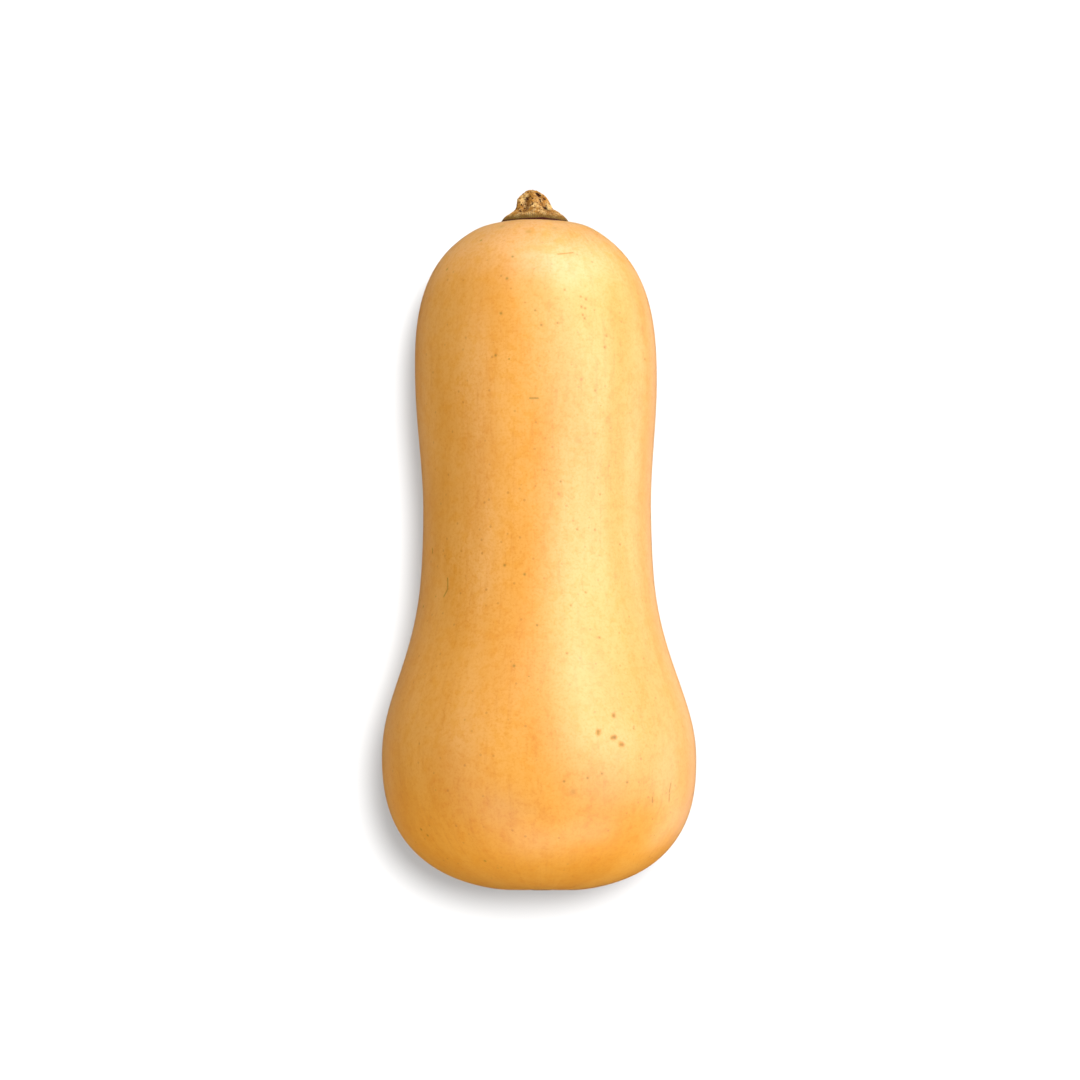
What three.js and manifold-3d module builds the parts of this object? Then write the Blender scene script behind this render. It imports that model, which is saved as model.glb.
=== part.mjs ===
// A butternut squash lying on its side, as picked: the fruit and the dry stub of its stalk.
// Millimetres. +Y runs from the blossom end to the stalk, +X is to the right seen from above, +Z is up.
// The origin is on the surface that the squash lies on, under the middle of its box.
import * as THREE from "three";
import { mergeVertices } from "three/addons/utils/BufferGeometryUtils.js";
import Module from "manifold-3d";

// Driving dimensions of the fruit. Stations are distances along its axis from the blossom end.
const BODY_LENGTH = 237;
const BULB_RADIUS = 55.55;
const BULB_STATION = 48;
const BULB_REACH = 37.8;
const WAIST_RADIUS = 40.4;
const WAIST_STATION = 134;
const NECK_RADIUS = 43.1;
const NECK_STATION = 182;
const BASE_SQUARENESS = 2.5;
const CROWN_SQUARENESS = 2.65;

// The blossom end: a shallow dimple with a corky button in it.
const DIMPLE_DEPTH = 1.6;
const DIMPLE_RADIUS = 8;
const BUTTON_HEIGHT = 0.9;
const BUTTON_RADIUS = 4.2;

// The crown's shoulder: a low swelling all round the stalk.
const SHOULDER_RISE = 0.9;
const SHOULDER_RADIUS = 19;
const SHOULDER_WIDTH = 7;

// How the fruit departs from a turned shape: an oval, five faint lobes, and an axis that isn't quite straight.
const OVAL = 0.006;
const OVAL_TURN = 0.9;
const LOBES = 5;
const LOBE_HEIGHT = 0.3;
const LOBE_HEIGHT_AT_CROWN = 0.5;
const LOBE_TURN = 0.55;
const AXIS_LEAN = 1.3;
const AXIS_CURL = 0.6;
const AXIS_SAG = 1.2;

// How it lies: the neck is slimmer than the bulb, so the axis dips until both touch the surface.
const DIP = THREE.MathUtils.degToRad(5);
const AXIS_HEIGHT_AT_BLOSSOM_END = 59.45;

// The stalk's stub: a flared foot, five ridges and a domed knob. Its outline is radii and heights above the
// crown, and shares of height count from 0 at the foot to 1 at the top.
const STALK_OUTLINE = [
  [12.6, 0],
  [11.8, 1.1],
  [10.3, 2.4],
  [8.2, 3.8],
  [6.7, 5.1],
  [5.95, 6.6],
  [5.45, 8.2],
  [4.2, 9.9],
  [1.9, 11.5],
  [0, 12.1],
];
const STALK_HEIGHT = 12.1;
const STALK_LEAN = 0.95;
const STALK_RIDGES = 5;
const STALK_RIDGE_TURN = 1.48;
const STALK_RIDGE_HEIGHT = 0.6;
const RIDGE_HEIGHT_AT_FOOT = 0.18;

// The foot is fuller on the right, most at a share of the height, and it follows the crown with a small gap.
const FOOT_LOBE = 0.45;
const FOOT_LOBE_AT = 0.32;
const FOOT_LOBE_SPREAD = 0.12;
const SEAT_GAP = 0.3;
const SEAT_FADE = 4;

// Facets: around the axis and from end to end.
const FRUIT_AROUND = 68;
const FRUIT_ALONG = 54;
const STALK_AROUND = 60;
const STALK_UP = 20;
const STALK_UNDER = 6;
const MERIDIAN_SAMPLES = 4000;
const WELD_DISTANCE = 1e-4;

// The block that everything below the surface is cut away with.
const GROUND_WIDTH = 400;
const GROUND_LENGTH = 600;
const GROUND_DEPTH = 20;

const smooth = (t) => {
  const c = THREE.MathUtils.clamp(t, 0, 1);
  return c * c * (3 - 2 * c);
};

// A quarter of a superellipse: how far out the end cap is at a share of its depth, both from 0 to 1.
const capShare = (share, squareness) => Math.pow(Math.max(0, 1 - Math.pow(share, squareness)), 1 / squareness);

// Radius of the fruit at a station: a bell-shaped bulb on a waisted neck, closed by two square-shouldered caps.
function fruitRadius(station) {
  if (station < BULB_STATION) {
    return BULB_RADIUS * capShare((BULB_STATION - station) / BULB_STATION, BASE_SQUARENESS);
  }
  if (station > NECK_STATION) {
    const depth = (station - NECK_STATION) / (BODY_LENGTH - NECK_STATION);
    return NECK_RADIUS * capShare(depth, CROWN_SQUARENESS);
  }
  const bell = Math.exp(-(((station - BULB_STATION) / BULB_REACH) ** 2));
  const swell = smooth((station - WAIST_STATION) / (NECK_STATION - WAIST_STATION));
  return WAIST_RADIUS + (BULB_RADIUS - WAIST_RADIUS) * bell + (NECK_RADIUS - WAIST_RADIUS) * swell;
}

// How much the shoulder raises the crown at a distance from the axis.
const shoulderRise = (radius) => SHOULDER_RISE * Math.exp(-(((radius - SHOULDER_RADIUS) / SHOULDER_WIDTH) ** 2));

// Depth of the crown below the end of the axis at a distance from it.
const crownDrop = (radius) =>
  (BODY_LENGTH - NECK_STATION) * (1 - capShare(Math.min(1, radius / NECK_RADIUS), CROWN_SQUARENESS)) -
  shoulderRise(radius);

// The blossom end's dimple and the button in it, as a depth along the axis at a distance from it.
function blossomDepth(radius) {
  const dimple = DIMPLE_DEPTH * Math.exp(-((radius / DIMPLE_RADIUS) ** 2));
  const button = BUTTON_HEIGHT * (1 - smooth((radius - BUTTON_RADIUS + 1) / 2));
  return dimple - button;
}

// The fruit's meridian as [station, radius] pairs at even steps of length, poles left out.
function meridian(steps) {
  const points = [];
  for (let i = 0; i <= MERIDIAN_SAMPLES; i++) {
    const station = (BODY_LENGTH * (1 - Math.cos((Math.PI * i) / MERIDIAN_SAMPLES))) / 2;
    points.push([station, fruitRadius(station)]);
  }
  const travelled = [0];
  for (let i = 1; i <= MERIDIAN_SAMPLES; i++) {
    const step = Math.hypot(points[i][0] - points[i - 1][0], points[i][1] - points[i - 1][1]);
    travelled.push(travelled[i - 1] + step);
  }
  const rings = [];
  for (let k = 1; k < steps; k++) {
    const wanted = (travelled[MERIDIAN_SAMPLES] * k) / steps;
    const i = travelled.findIndex((t) => t >= wanted);
    rings.push(points[i]);
  }
  return rings;
}

// Where the axis runs at a station: it leans to the left towards the stalk, curls on at both ends and sags a
// little in the middle.
function axisOffset(station) {
  const along = station / BODY_LENGTH;
  const sideways = AXIS_LEAN * (0.5 - along) + AXIS_CURL * (1 - 2 * along) ** 3;
  return new THREE.Vector2(sideways, -AXIS_SAG * Math.sin(Math.PI * along));
}

// A point of the skin, in the fruit's frame: X right, Y along the axis, Z up.
function skinPoint(station, radius, angle) {
  const along = station / BODY_LENGTH;
  const girth = radius / BULB_RADIUS;
  const lobeHeight = LOBE_HEIGHT + (LOBE_HEIGHT_AT_CROWN - LOBE_HEIGHT) * smooth(along);
  const lobes = lobeHeight * Math.cos(LOBES * (angle - LOBE_TURN)) * Math.min(1, 2 * girth);
  const oval = radius * OVAL * Math.cos(2 * (angle - OVAL_TURN));
  const reach = radius + lobes + oval;
  const axis = axisOffset(station);
  const y = station + (along < 0.5 ? blossomDepth(radius) : shoulderRise(radius));
  return [axis.x + reach * Math.cos(angle), y, axis.y + reach * Math.sin(angle)];
}

// A closed surface from rings of points with one pole at each end. Rings turn from +X towards +Z.
function closedFromRings(firstPole, rings, lastPole) {
  const around = rings[0].length;
  const positions = [firstPole, ...rings.flat(), lastPole].flat();
  const last = rings.length * around + 1;
  const at = (ring, k) => 1 + ring * around + (k % around);
  const index = [];
  for (let k = 0; k < around; k++) {
    index.push(0, at(0, k), at(0, k + 1));
    for (let r = 0; r + 1 < rings.length; r++) {
      index.push(at(r, k), at(r + 1, k), at(r + 1, k + 1));
      index.push(at(r, k), at(r + 1, k + 1), at(r, k + 1));
    }
    index.push(last, at(rings.length - 1, k + 1), at(rings.length - 1, k));
  }
  const geometry = new THREE.BufferGeometry();
  geometry.setAttribute("position", new THREE.Float32BufferAttribute(positions, 3));
  geometry.setIndex(index);
  return geometry;
}

const ringAngles = (count) => Array.from({ length: count }, (_, k) => (2 * Math.PI * k) / count);

// From the fruit's frame to how it lies on the surface.
const lying = new THREE.Matrix4()
  .makeTranslation(0, 0, AXIS_HEIGHT_AT_BLOSSOM_END)
  .multiply(new THREE.Matrix4().makeRotationX(-DIP));

function fruitGeometry() {
  const rings = meridian(FRUIT_ALONG).map(([station, radius]) =>
    ringAngles(FRUIT_AROUND).map((angle) => skinPoint(station, radius, angle)),
  );
  const geometry = closedFromRings(skinPoint(0, 0, 0), rings, skinPoint(BODY_LENGTH, 0, 0));
  return geometry.applyMatrix4(lying);
}

// The stalk's side and top: how far out it reaches, and how high, at a share of its outline.
const stalkCurve = new THREE.SplineCurve(STALK_OUTLINE.map(([radius, height]) => new THREE.Vector2(radius, height)));

function stalkPoint(share, angle) {
  const { x: radius, y: height } = stalkCurve.getPointAt(share);
  const tall = height / STALK_HEIGHT;
  const ridge = Math.cos(STALK_RIDGES * (angle - STALK_RIDGE_TURN));
  const grown = RIDGE_HEIGHT_AT_FOOT + (STALK_RIDGE_HEIGHT - RIDGE_HEIGHT_AT_FOOT) * smooth(4 * share);
  const ridgeHeight = grown * smooth(4 * (1 - share));
  const lobe = FOOT_LOBE * Math.cos(angle) * Math.exp(-(((tall - FOOT_LOBE_AT) / FOOT_LOBE_SPREAD) ** 2));
  const reach = radius + ridgeHeight * ridge + lobe;
  const lean = -STALK_LEAN * smooth(tall);
  return [lean + reach * Math.cos(angle), height, reach * Math.sin(angle)];
}

// The stalk sits on the crown: its underside follows the skin with a small gap.
function stalkGeometry() {
  const angles = ringAngles(STALK_AROUND);
  const seat = axisOffset(BODY_LENGTH);
  const onCrown = ([x, height, z]) => [
    seat.x + x,
    BODY_LENGTH + SEAT_GAP + height - crownDrop(Math.hypot(x, z)) * (1 - smooth(height / SEAT_FADE)),
    seat.y + z,
  ];
  const foot = angles.map((angle) => stalkPoint(0, angle));
  const under = [];
  for (let k = 1; k < STALK_UNDER; k++) {
    const share = k / STALK_UNDER;
    under.push(foot.map(([x, , z]) => onCrown([x * share, 0, z * share])));
  }
  const side = [];
  for (let k = 0; k < STALK_UP; k++) {
    side.push(angles.map((angle) => onCrown(stalkPoint(k / STALK_UP, angle))));
  }
  const geometry = closedFromRings(onCrown([0, 0, 0]), [...under, ...side], onCrown(stalkPoint(1, 0)));
  return geometry.applyMatrix4(lying);
}

// Trims a closed geometry flat where it would sink below the surface.
const wasm = await Module();
wasm.setup();

function solidOf(geometry) {
  const bare = geometry.clone();
  bare.deleteAttribute("normal");
  bare.deleteAttribute("uv");
  const merged = mergeVertices(bare, WELD_DISTANCE);
  return new wasm.Manifold(
    new wasm.Mesh({
      numProp: 3,
      vertProperties: new Float32Array(merged.attributes.position.array),
      triVerts: new Uint32Array(merged.index.array),
    }),
  );
}

function geometryOf(solid) {
  const mesh = solid.getMesh();
  const geometry = new THREE.BufferGeometry();
  geometry.setAttribute("position", new THREE.BufferAttribute(mesh.vertProperties, 3));
  geometry.setIndex(new THREE.BufferAttribute(mesh.triVerts, 1));
  geometry.computeVertexNormals();
  return geometry;
}

function restedOnSurface(geometry) {
  const ground = new THREE.BoxGeometry(GROUND_WIDTH, GROUND_LENGTH, GROUND_DEPTH);
  ground.translate(0, BODY_LENGTH / 2, -GROUND_DEPTH / 2);
  return geometryOf(solidOf(geometry).subtract(solidOf(ground)));
}

const skin = new THREE.MeshStandardMaterial({ color: 0xeeb05c, roughness: 0.45, metalness: 0 });
const cork = new THREE.MeshStandardMaterial({ color: 0xa9803f, roughness: 0.85, metalness: 0 });

const fruit = new THREE.Mesh(restedOnSurface(fruitGeometry()), skin);
fruit.name = "fruit";

const stalkMesh = stalkGeometry();
stalkMesh.computeVertexNormals();
const stalk = new THREE.Mesh(stalkMesh, cork);
stalk.name = "stalk";

// The origin goes under the middle of the whole squash.
const squash = new THREE.Group();
squash.add(fruit, stalk);
const middle = new THREE.Box3().setFromObject(squash, true).getCenter(new THREE.Vector3());
squash.position.set(-middle.x, -middle.y, 0);

export default squash;
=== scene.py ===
# %% [markdown]
# # A butternut squash on a white table
#
# The real thing is one grown piece, a waxy tan fruit with a straight neck and a round bulb, and it still
# carries the dry stub of the stalk that it hung by. It lies on its side and is seen from straight above.
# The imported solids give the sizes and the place. Everything here is worked out in the same frame: +Y runs
# from the blossom end to the stalk, +X is to the right and +Z is up. Formulas are in millimetres, and a
# mesh is turned into metres when it is made.

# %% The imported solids
import math

import bmesh
import bpy
import numpy as np
from mathutils import Matrix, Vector
from mathutils.bvhtree import BVHTree


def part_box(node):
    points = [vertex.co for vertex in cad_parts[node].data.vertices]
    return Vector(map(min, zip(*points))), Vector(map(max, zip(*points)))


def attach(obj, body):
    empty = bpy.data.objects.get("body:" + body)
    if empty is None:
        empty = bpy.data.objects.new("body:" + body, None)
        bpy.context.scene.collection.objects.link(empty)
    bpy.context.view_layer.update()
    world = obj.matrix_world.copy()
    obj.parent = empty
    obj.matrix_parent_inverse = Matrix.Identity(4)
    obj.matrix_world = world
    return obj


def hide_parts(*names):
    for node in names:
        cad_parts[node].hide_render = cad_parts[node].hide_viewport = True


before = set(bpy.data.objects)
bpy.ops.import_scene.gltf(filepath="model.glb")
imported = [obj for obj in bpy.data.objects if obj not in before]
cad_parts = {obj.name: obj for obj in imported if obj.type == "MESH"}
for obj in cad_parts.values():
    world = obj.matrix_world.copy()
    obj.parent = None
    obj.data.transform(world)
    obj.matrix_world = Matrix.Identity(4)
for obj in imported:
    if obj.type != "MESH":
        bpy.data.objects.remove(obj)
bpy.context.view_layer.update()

MM = 0.001
fruit_low, fruit_high = (np.array(corner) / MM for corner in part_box("fruit"))

# %% [markdown]
# ## The camera
#
# The picture is taken from straight above with a long lens. A far camera keeps the outline true, and a near
# one would show less of the flanks. Its place also tells where a mark seen in the picture lies on the skin.

# %% The camera
EYE = np.array([0.35, -0.4, 1500.0])
MID_HEIGHT = 55.0
PICTURE_WIDTH = 380.2
SENSOR_WIDTH = 36.0

camera_data = bpy.data.cameras.new("camera")
camera_data.sensor_width = SENSOR_WIDTH
camera_data.lens = SENSOR_WIDTH * (EYE[2] - MID_HEIGHT) / PICTURE_WIDTH
camera = bpy.data.objects.new("camera", camera_data)
camera.location = EYE * MM
bpy.context.scene.collection.objects.link(camera)
bpy.context.scene.camera = camera
print("lens", round(camera_data.lens, 1), "mm")

# %% [markdown]
# ## Two helpers for shapes
#
# A soft step joins two values without a crease. Lattice noise is the plainest natural unevenness: random
# numbers on a cubic lattice, blended between its corners. Both take whole arrays, so no loop runs over the
# points of a surface.

# %% Soft step and lattice noise
LATTICE = 32


def smooth(t):
    """0 below 0, 1 above 1 and a soft S between them: t squared times (3 - 2 t)."""
    t = np.clip(t, 0.0, 1.0)
    return t * t * (3.0 - 2.0 * t)


def uneven(points, size, seed):
    """Noise from -1 to 1: random values at the corners of a lattice of that size, blended by smooth."""
    table = np.random.default_rng(seed).uniform(-1.0, 1.0, (LATTICE,) * 3)
    cell = np.floor(points / size).astype(int)
    share = smooth(points / size - cell)
    total = np.zeros(points.shape[:-1])
    for corner in np.ndindex(2, 2, 2):
        weight = np.prod(np.where(corner, share, 1.0 - share), axis=-1)
        x, y, z = np.moveaxis((cell + corner) % LATTICE, -1, 0)
        total += weight * table[x, y, z]
    return total


# %% [markdown]
# ## The fruit's profile
#
# A squash is nearly a turned shape: a profile carried round an axis. It could be drawn with a dozen curve
# points, but a formula keeps it smooth where the light runs over it. A bell makes the bulb, a soft step the
# slight swell of the neck, and a quarter of a superellipse closes each end with square shoulders. Where two
# of them meet the bend changes at once, which a glossy skin would show as a line, so the finished profile
# is blurred by a few millimetres along its length.

# %% The profile
BODY_LENGTH = 237.0
BULB_RADIUS = 55.55
BULB_STATION = 48.0
BULB_REACH = 37.8
WAIST_RADIUS = 40.4
WAIST_STATION = 134.0
NECK_RADIUS = 43.1
NECK_STATION = 182.0
BASE_SQUARENESS = 2.5
CROWN_SQUARENESS = 2.65
PROFILE_SAMPLES = 4001
PROFILE_BLUR = 3.0
PROFILE_STEP = 0.25


def cap_share(share, squareness):
    """How far out an end cap is at a share of its depth: (1 - share^n)^(1/n), a superellipse's quarter."""
    return np.maximum(0.0, 1.0 - np.clip(share, 0.0, 1.0) ** squareness) ** (1.0 / squareness)


def fruit_radius(station):
    """Radius at a distance from the blossom end: base cap, then waist + bell + swell, then crown cap."""
    base = BULB_RADIUS * cap_share((BULB_STATION - station) / BULB_STATION, BASE_SQUARENESS)
    crown_share = (station - NECK_STATION) / (BODY_LENGTH - NECK_STATION)
    crown = NECK_RADIUS * cap_share(crown_share, CROWN_SQUARENESS)
    bell = np.exp(-(((station - BULB_STATION) / BULB_REACH) ** 2))
    swell = smooth((station - WAIST_STATION) / (NECK_STATION - WAIST_STATION))
    middle = WAIST_RADIUS + (BULB_RADIUS - WAIST_RADIUS) * bell + (NECK_RADIUS - WAIST_RADIUS) * swell
    return np.select([station < BULB_STATION, station > NECK_STATION], [base, crown], middle)


def blurred(values, odd):
    """Values blurred by a Gaussian of PROFILE_BLUR. Past a pole they go on mirrored, a radius negative."""
    reach = round(3.0 * PROFILE_BLUR / PROFILE_STEP)
    kernel = np.exp(-0.5 * (np.arange(-reach, reach + 1) * PROFILE_STEP / PROFILE_BLUR) ** 2)
    padded = np.pad(values, reach, mode="reflect", reflect_type="odd" if odd else "even")
    return np.convolve(padded, kernel / kernel.sum(), mode="valid")


def profile(steps):
    """Station and radius at steps + 1 even distances along the profile, poles included."""
    turn = np.linspace(0.0, np.pi, PROFILE_SAMPLES)
    station = BODY_LENGTH * (1.0 - np.cos(turn)) / 2.0
    radius = fruit_radius(station)
    run = np.concatenate([[0.0], np.cumsum(np.hypot(np.diff(station), np.diff(radius)))])
    even = np.linspace(0.0, run[-1], round(run[-1] / PROFILE_STEP) + 1)
    station = blurred(np.interp(even, run, station), odd=False)
    radius = blurred(np.interp(even, run, radius), odd=True)
    wanted = np.linspace(0.0, run[-1], steps + 1)
    return np.interp(wanted, even, station), np.interp(wanted, even, radius)


waist_and_neck = fruit_radius(np.array([WAIST_STATION, NECK_STATION]))
print("the waist and the neck are", (2.0 * waist_and_neck).round(1), "mm across")

# %% [markdown]
# ## The skin
#
# No squash is perfectly round. This one is a touch oval, has five faint lobes, and its axis leans and sags
# a little. The crown swells into a low shoulder round the stalk, and at the blossom end the flower has left
# a corky button in a shallow puckered dimple.

# %% The skin
OVAL = 0.006
OVAL_TURN = 0.9
LOBES = 5
LOBE_HEIGHT = 0.3
LOBE_HEIGHT_AT_CROWN = 0.5
LOBE_TURN = 0.55
AXIS_LEAN = 1.3
AXIS_CURL = 0.6
AXIS_SAG = 1.2
SHOULDER_RISE = 0.9
SHOULDER_RADIUS = 19.0
SHOULDER_WIDTH = 7.0
DIMPLE_DEPTH = 1.6
DIMPLE_RADIUS = 8.0
BUTTON_HEIGHT = 0.9
BUTTON_RADIUS = 4.2
PUCKERS = 10
PUCKER_DEPTH = 0.25
PUCKER_RADIUS = 1.9 * BUTTON_RADIUS
PUCKER_WIDTH = 3.0


def axis_offset(station):
    """Sideways and upward offset of the axis: it leans and curls across, and sags as half a sine wave."""
    along = station / BODY_LENGTH
    sideways = AXIS_LEAN * (0.5 - along) + AXIS_CURL * (1.0 - 2.0 * along) ** 3
    return sideways, -AXIS_SAG * np.sin(np.pi * along)


def blossom_depth(radius, angle):
    """Depth of the blossom end: a bell-shaped dimple, less its button, with puckers round the button."""
    dimple = DIMPLE_DEPTH * np.exp(-((radius / DIMPLE_RADIUS) ** 2))
    button = BUTTON_HEIGHT * (1.0 - smooth((radius - BUTTON_RADIUS + 1.0) / 2.0))
    ring = np.exp(-(((radius - PUCKER_RADIUS) / PUCKER_WIDTH) ** 2))
    return dimple - button + PUCKER_DEPTH * ring * (1.0 + np.cos(PUCKERS * angle)) / 2.0


def shoulder_rise(radius):
    """How much the shoulder raises the crown: a ring of a bell's section round the stalk."""
    return SHOULDER_RISE * np.exp(-(((radius - SHOULDER_RADIUS) / SHOULDER_WIDTH) ** 2))


def skin_points(station, radius, angle):
    """Points of the skin in the fruit's frame: the axis, and round it the radius with lobes and oval."""
    along = station / BODY_LENGTH
    lobe_height = LOBE_HEIGHT + (LOBE_HEIGHT_AT_CROWN - LOBE_HEIGHT) * smooth(along)
    lobes = lobe_height * np.cos(LOBES * (angle - LOBE_TURN)) * np.minimum(1.0, 2.0 * radius / BULB_RADIUS)
    reach = radius * (1.0 + OVAL * np.cos(2.0 * (angle - OVAL_TURN))) + lobes
    sideways, upward = axis_offset(station)
    y = station + np.where(along < 0.5, blossom_depth(radius, angle), shoulder_rise(radius))
    return np.stack([sideways + reach * np.cos(angle), y, upward + reach * np.sin(angle)], axis=-1)


print("the blossom end's dimple is", round(float(blossom_depth(BUTTON_RADIUS + 1.0, 0.0)), 1), "mm deep")

# %% [markdown]
# ## From rings to a mesh
#
# Both pieces are a stack of closed rings with a pole at each end. One function joins such rings into a
# closed mesh of four-sided faces with a fan at each pole, and another tells which way the surface faces.

# %% Rings, poles and normals
def closed_mesh(name, rings, first_pole, last_pole):
    """A closed mesh in metres from rings of points (ring, around, 3), turning from +X towards +Z."""
    count, around = rings.shape[:2]
    points = np.concatenate([first_pole[None], rings.reshape(-1, 3), last_pole[None]]) * MM
    here = 1 + np.arange(count * around).reshape(count, around)
    beside = np.roll(here, -1, axis=1)
    quads = np.stack([here[:-1], here[1:], beside[1:], beside[:-1]], axis=-1).reshape(-1, 4)
    first = np.stack([np.zeros(around, int), here[0], beside[0]], axis=-1)
    last = np.stack([np.full(around, len(points) - 1), beside[-1], here[-1]], axis=-1)
    mesh = bpy.data.meshes.new(name)
    mesh.from_pydata(points.tolist(), [], quads.tolist() + first.tolist() + last.tolist())
    mesh.shade_smooth()
    return mesh


def outward(rings):
    """Unit normals of rings: the cross product of the steps from ring to ring and round a ring."""
    around = np.roll(rings, -1, axis=1) - np.roll(rings, 1, axis=1)
    along = np.gradient(rings, axis=0)
    normal = np.cross(along, around)
    return normal / np.linalg.norm(normal, axis=-1, keepdims=True)


# %% [markdown]
# ## How it lies
#
# The neck is slimmer than the bulb, so the squash tips forward by five degrees until both touch the table.
# The tip is a turn about X, and the axis is then lifted to the height at which the bulb rests.

# %% How it lies
DIP = math.radians(5.0)
AXIS_HEIGHT_AT_BLOSSOM_END = 59.45


def lying(points):
    """Points of the fruit's frame, turned about X by the dip and lifted to the height of the axis."""
    x, y, z = np.moveaxis(points, -1, 0)
    ahead = y * math.cos(DIP) + z * math.sin(DIP)
    height = z * math.cos(DIP) - y * math.sin(DIP) + AXIS_HEIGHT_AT_BLOSSOM_END
    return np.stack([x, ahead, height], axis=-1)


print("the axis comes down by", round(BODY_LENGTH * math.sin(DIP), 1), "mm towards the stalk")

# %% [markdown]
# Now the skin can be made. Slow unevenness, given by its size, depth and seed, only goes inwards, so the
# skin never leaves the solid's box. The rings are moved to the middle of that box, and where they would
# sink into the table the skin is pressed flat, as the solid is.

# %% The fruit's mesh
FRUIT_AROUND = 240
FRUIT_ALONG = 216
HOLLOWS = ((34.0, 0.22, 11), (13.0, 0.07, 12))

stations, radii = profile(FRUIT_ALONG)
angles = np.linspace(0.0, 2.0 * np.pi, FRUIT_AROUND, endpoint=False)
flat_rings = skin_points(stations[1:-1, None], radii[1:-1, None], angles[None])
hollow = sum(depth * (1.0 + uneven(flat_rings, size, seed)) / 2.0 for size, depth, seed in HOLLOWS)
fruit_rings = lying(flat_rings - outward(flat_rings) * hollow[..., None])
middle = (fruit_rings.min(axis=(0, 1)) + fruit_rings.max(axis=(0, 1))) / 2.0
shift = (fruit_low + fruit_high) / 2.0 - middle
shift[2] = 0.0
fruit_rings = np.maximum(fruit_rings + shift, [-np.inf, -np.inf, 0.0])
poles = [lying(skin_points(stations[k], radii[k], 0.0)) + shift for k in (0, -1)]
fruit_mesh = closed_mesh("squash_fruit", fruit_rings, *poles)
print("fruit", len(fruit_mesh.polygons), "faces, moved by", shift.round(2), "mm")

# %% [markdown]
# ## The grain of the rind
#
# Faint streaks run along a squash from end to end. A pattern on plain coordinates would cut across them at
# the ends, so each point keeps a grain coordinate: its direction round the axis, as a circle of the waist's
# size, and its station. Noise stretched along the station then makes streaks that meet at both poles.

# %% The grain attribute
def keep_numbers(mesh, name, kind, values):
    """Stores an array on the points of a mesh, as numbers (FLOAT) or as arrows (FLOAT_VECTOR)."""
    attribute = mesh.attributes.new(name, kind, "POINT")
    member = "value" if kind == "FLOAT" else "vector"
    attribute.data.foreach_set(member, np.ravel(values).astype(np.float32))


ring_way = np.stack(np.broadcast_arrays(np.cos(angles), np.sin(angles)), axis=-1) * WAIST_RADIUS
grain_rings = np.concatenate(
    [
        np.broadcast_to(ring_way, (FRUIT_ALONG - 1, FRUIT_AROUND, 2)),
        np.broadcast_to(stations[1:-1, None, None], (FRUIT_ALONG - 1, FRUIT_AROUND, 1)),
    ],
    axis=-1,
)
pole_grain = np.array([[0.0, 0.0, stations[0]], [0.0, 0.0, stations[-1]]])
grain = np.concatenate([pole_grain[:1], grain_rings.reshape(-1, 3), pole_grain[1:]])
keep_numbers(fruit_mesh, "grain", "FLOAT_VECTOR", grain * MM)
print("grain runs over", round(float(np.ptp(grain[:, 2]))), "mm")

# %% [markdown]
# ## Marks on the rind
#
# A squash that grew in a field has small corky specks, healed scratches and a few pocks. The ones on top
# are where the picture shows them, given as x and y in millimetres as they are seen from the camera. The
# far side gets as many, scattered by a seeded draw. Each mark is a capsule: a line on the skin with a
# radius round it, which stains the skin and sinks it.

# %% Where the marks are
SPECKS = [
    (9.0, 87.7), (14.7, 85.3), (16.5, 84.3), (14.9, 81.7), (16.2, 81.2), (15.4, 78.8), (16.1, 77.6),
    (6.5, 76.0), (0.8, 75.3), (23.8, 71.4), (23.1, 67.5), (-15.3, 64.6), (-11.3, 91.7), (-1.4, 80.4),
    (-13.4, 79.4), (-9.3, 99.4), (-20.4, 105.1), (-32.4, 94.9), (37.3, 63.2), (19.7, 52.3), (7.6, 20.2),
    (21.5, 15.7), (13.4, 3.3), (19.7, 3.2), (28.5, -1.9), (-12.1, -9.3), (-5.1, -12.5), (16.4, -18.8),
    (11.2, -23.4), (-40.7, -23.8), (-0.7, -30.4), (21.3, -34.7), (9.8, -40.3), (-8.8, -44.7),
    (33.3, -66.7), (22.1, -82.6), (17.1, -84.2), (31.0, -85.7), (-41.5, -102.3), (-39.2, -104.4),
    (-19.0, -113.4), (8.8, -85.4),
]
BLOTCHES = [
    (-3.7, 108.2), (5.5, 109.4), (-13.1, 110.0), (36.4, 74.1), (24.3, 41.4), (13.7, 34.7),
    (27.1, -13.2), (12.0, -88.9),
]
SCRATCHES = [
    ((6.7, 100.3), (12.0, 100.8)),
    ((-32.2, -13.9), (-32.2, -17.8)),
    ((-32.2, -17.8), (-33.5, -20.2)),
    ((-37.5, -3.5), (-37.5, -4.9)),
    ((46.4, -86.1), (45.9, -89.2)),
    ((45.9, -89.9), (45.8, -92.4)),
    ((-3.2, 49.5), (-0.4, 49.5)),
    ((39.9, -91.0), (39.9, -92.8)),
]
POCKS = [
    ((20.8, -67.9), (20.8, -68.6)),
    ((25.8, -70.2), (26.8, -69.9)),
    ((28.8, -72.5), (29.4, -72.5)),
    ((26.3, -62.0), (26.3, -62.3)),
]
print(len(SPECKS), "specks,", len(BLOTCHES), "blotches,", len(SCRATCHES), "scratches,", len(POCKS), "pocks")

# %% [markdown]
# A mark that is given as seen from the camera is dropped onto the skin along the camera's own line of
# sight. The tree of faces answers where that line meets the skin. Each kind of mark has a radius and a
# depth in millimetres and a stain from 0 to 1.

# %% Marks on the skin
SPECK = (0.55, 0.05, 1.0)
BLOTCH = (1.7, 0.04, 0.35)
SCRATCH = (0.4, 0.1, 0.9)
POCK = (0.95, 0.38, 1.0)
HIDDEN_POCK = (0.95, 0.3, 1.0)
HIDDEN_SIDE = (0.53, 0.97)
POLE_RINGS = 8

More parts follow.
